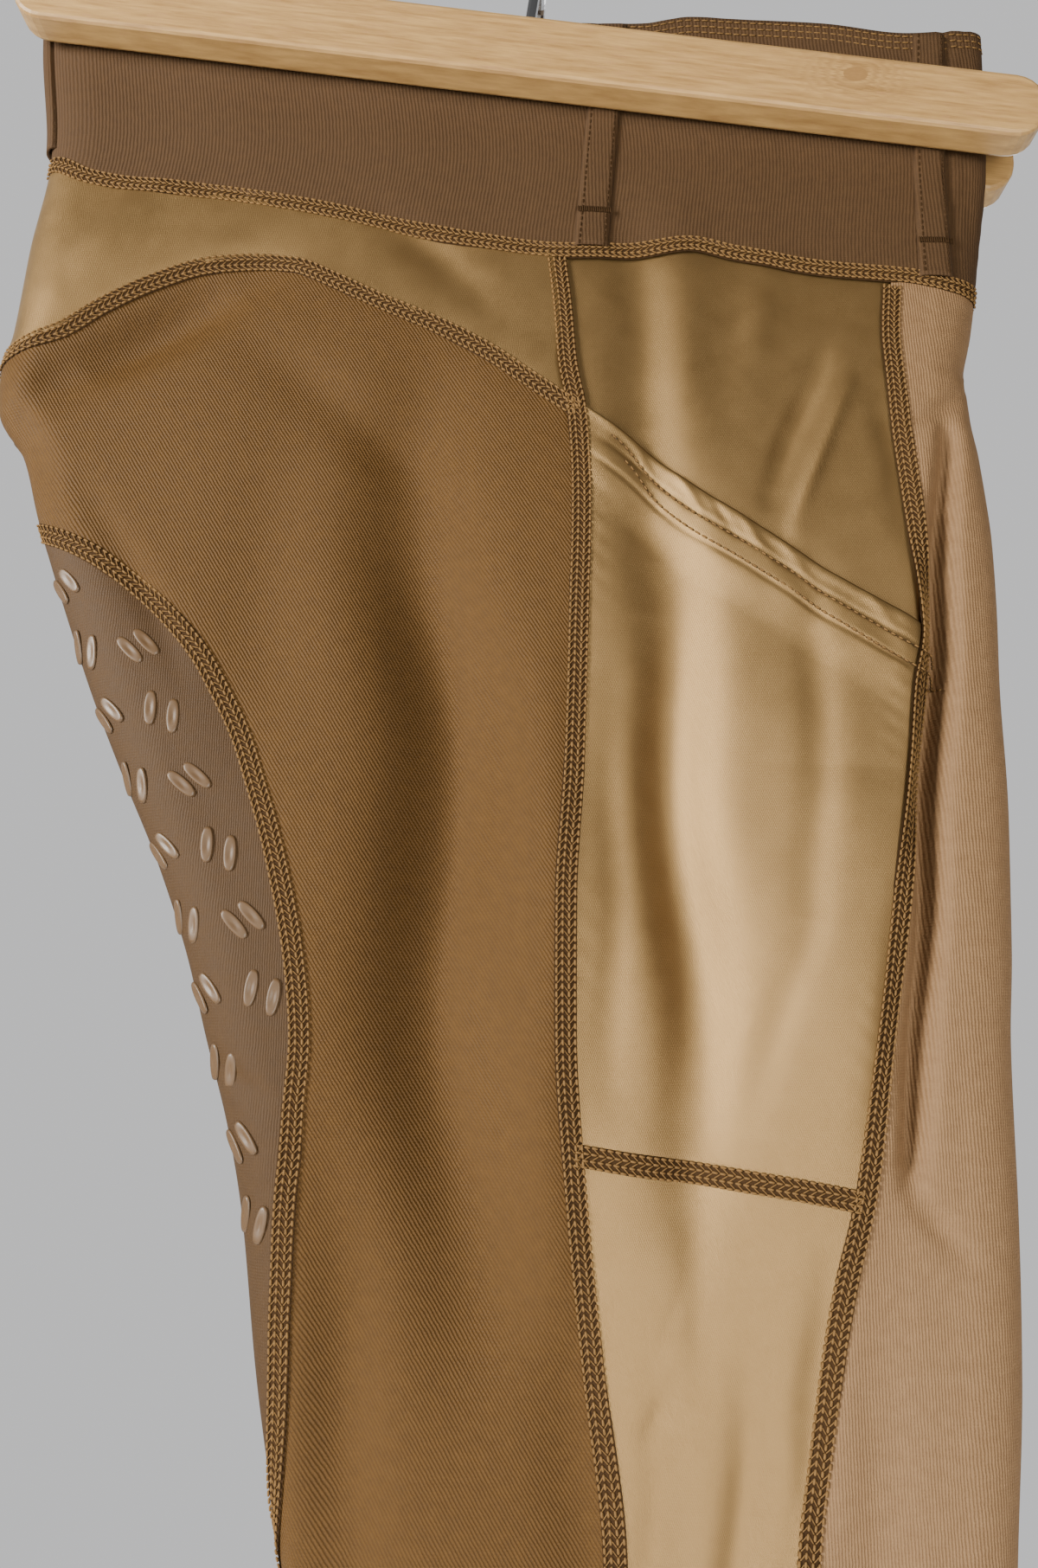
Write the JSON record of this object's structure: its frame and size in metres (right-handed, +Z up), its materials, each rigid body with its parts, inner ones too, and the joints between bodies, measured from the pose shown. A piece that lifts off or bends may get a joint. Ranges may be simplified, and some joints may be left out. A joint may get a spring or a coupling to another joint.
{
  "type": "riding tights on a wooden clamp hanger",
  "caption": "Brown riding tights folded along the centre line and hung from a pale wooden clamp hanger.",
  "frame": {"origin": "The crown of the hook, where the rod carries the hanger.", "axes": "+Z up along the hung garment, +X towards the garment's front edge, +Y away from the side that shows."},
  "size_m": [0.3588, 0.043, 1.0135],
  "materials": {
    "ribbed_band": "fine vertical rib elastic",
    "coated_panel": "satin coated stretch cloth",
    "twill_jersey": "fine diagonal twill jersey",
    "ribbed_knit": "fine vertical ribbed knit",
    "grip_jersey": "smooth jersey with raised grip dots",
    "pale_wood": "pale satin varnished beech",
    "hook_steel": "plated wire"
  },
  "bodies": {
    "root": {"waistband": "ribbed_band", "back_yoke": "coated_panel", "back_leg_near": "twill_jersey", "grip_patch_near": "grip_jersey", "front_leg_near": "ribbed_knit", "side_backing_near": "coated_panel", "pocket_near": "coated_panel", "side_lower_near": "coated_panel", "belt_loop_side_near": "ribbed_band", "belt_loop_front_near": "ribbed_band", "back_leg_far": "twill_jersey", "grip_patch_far": "grip_jersey", "front_leg_far": "ribbed_knit", "side_backing_far": "coated_panel", "pocket_far": "coated_panel", "side_lower_far": "coated_panel", "belt_loop_side_far": "ribbed_band", "belt_loop_front_far": "ribbed_band", "belt_loop_back": "ribbed_band", "clamp_bar_front": "pale_wood", "clamp_bar_back": "pale_wood", "hanger_yoke": "hook_steel", "hanger_hook": "hook_steel"}
  },
  "joints": []
}
